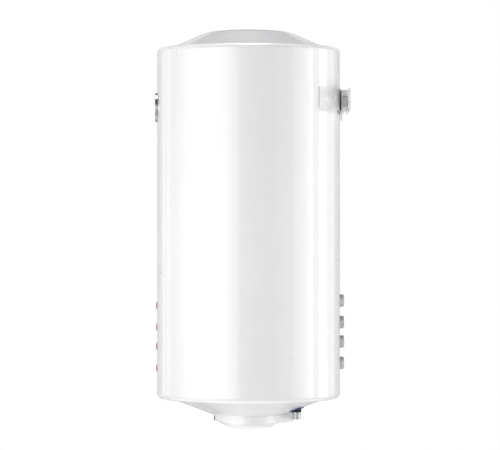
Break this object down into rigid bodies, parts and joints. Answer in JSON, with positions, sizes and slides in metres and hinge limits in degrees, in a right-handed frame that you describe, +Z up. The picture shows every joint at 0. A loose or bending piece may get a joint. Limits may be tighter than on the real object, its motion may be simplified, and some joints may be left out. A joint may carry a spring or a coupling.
{
  "type": "tank water heater",
  "caption": "Wall-hung white cylindrical tank water heater with side heat-exchanger sockets, underside water pipes, electric cover, thermometer and wall bracket.",
  "frame": {"origin": "centre of the wall plate's two slots, on the plate's wall face", "axes": "+Z up along the tank, +Y into the wall, so the heater faces -Y; +X is to the right seen from the front"},
  "size_m": [0.44, 0.4664, 0.9566],
  "materials": {
    "casing_paint": "smooth gloss powder coat",
    "bracket_paint": "satin powder coat",
    "socket_zinc": "dull zinc plated",
    "bezel_metal": "satin turned",
    "cap_plastic": "satin moulded plastic",
    "cover_plastic": "glossy moulded plastic",
    "zinc_steel": "zinc plated",
    "nipple_chrome": "bright plated",
    "red_plastic": "moulded plastic",
    "blue_plastic": "moulded plastic",
    "black_plastic": "fine grain",
    "bezel_plastic": "dark grey satin",
    "rubber_black": "moulded rubber",
    "dial_print": "white scale",
    "needle_red": "painted",
    "lens_clear": "clear",
    "switch_red": "translucent, lit",
    "knob_grey": "satin grey",
    "foam": "polyurethane foam",
    "enamel_steel": "vitreous enamel",
    "copper": "copper tube",
    "brass": "turned",
    "magnesium": "cast rod",
    "electric_plastic": "moulded insulation"
  },
  "bodies": {
    "heater": {"anode_nut": "zinc_steel", "anode_rod": "magnesium", "bottom_cap": "cap_plastic", "cable_gland": "black_plastic", "cold_inlet_pipe": "nipple_chrome", "cold_pipe_ring": "blue_plastic", "cover_base_ring": "cover_plastic", "cover_screws": "zinc_steel", "cross_bolt": "zinc_steel", "cross_bolt_nut": "zinc_steel", "earth_bolt": "zinc_steel", "electric_cover": "cover_plastic", "element_ferrules": "brass", "element_terminals": "brass", "flange_gasket": "rubber_black", "flange_nuts": "zinc_steel", "flange_plate": "zinc_steel", "flange_ring": "enamel_steel", "flange_studs": "zinc_steel", "front_port_plugs": "red_plastic", "front_port_sockets": "zinc_steel", "gland_nut": "black_plastic", "hanger_bracket": "bracket_paint", "hanger_strap": "bracket_paint", "heating_element": "copper", "hot_outlet_pipe": "nipple_chrome", "hot_pipe_ring": "red_plastic", "inlet_diffuser": "electric_plastic", "insulation_foam": "foam", "lower_coil": "enamel_steel", "outer_casing": "casing_paint", "pipe_sleeves": "rubber_black", "plate_nuts": "zinc_steel", "plate_studs": "zinc_steel", "rear_port_sockets": "socket_zinc", "sensor_bulb": "copper", "sensor_pocket": "copper", "strap_rivets": "bracket_paint", "switch_frame": "black_plastic", "tank_bottom_head": "enamel_steel", "tank_shell": "enamel_steel", "tank_top_head": "enamel_steel", "terminal_block": "electric_plastic", "thermal_cutout": "electric_plastic", "thermometer_bezel": "bezel_metal", "thermometer_case": "bezel_plastic", "thermometer_dial": "dial_print", "thermometer_lens": "lens_clear", "thermometer_pocket": "brass", "thermostat_body": "electric_plastic", "top_cap": "cap_plastic", "upper_coil": "enamel_steel", "wall_plate": "bracket_paint"},
    "needle": {"thermometer_needle": "needle_red"},
    "rocker": {"switch_rocker": "switch_red"},
    "knob": {"thermostat_knob": "knob_grey", "thermostat_shaft": "zinc_steel"},
    "reset": {"reset_button": "red_plastic"}
  },
  "joints": [
    {"name": "thermometer_needle_turn", "type": "hinge", "parent": "heater", "child": "needle", "pos_m": [0, -0.4609, -0.017], "axis": [0, 1, 0], "range_deg": [0, 240]},
    {"name": "rocker_tip", "type": "hinge", "parent": "heater", "child": "rocker", "pos_m": [0, -0.321, -0.7644], "axis": [1, 0, 0], "range_deg": [0, 14]},
    {"name": "thermostat_knob_turn", "type": "hinge", "parent": "heater", "child": "knob", "pos_m": [0, -0.258, -0.786], "axis": [0, 0, 1], "range_deg": [0, 270]},
    {"name": "reset_button_press", "type": "slide", "parent": "heater", "child": "reset", "axis": [0, 0, 1], "range_m": [0, 0.0015], "stiffness_N_per_m": 400}
  ]
}
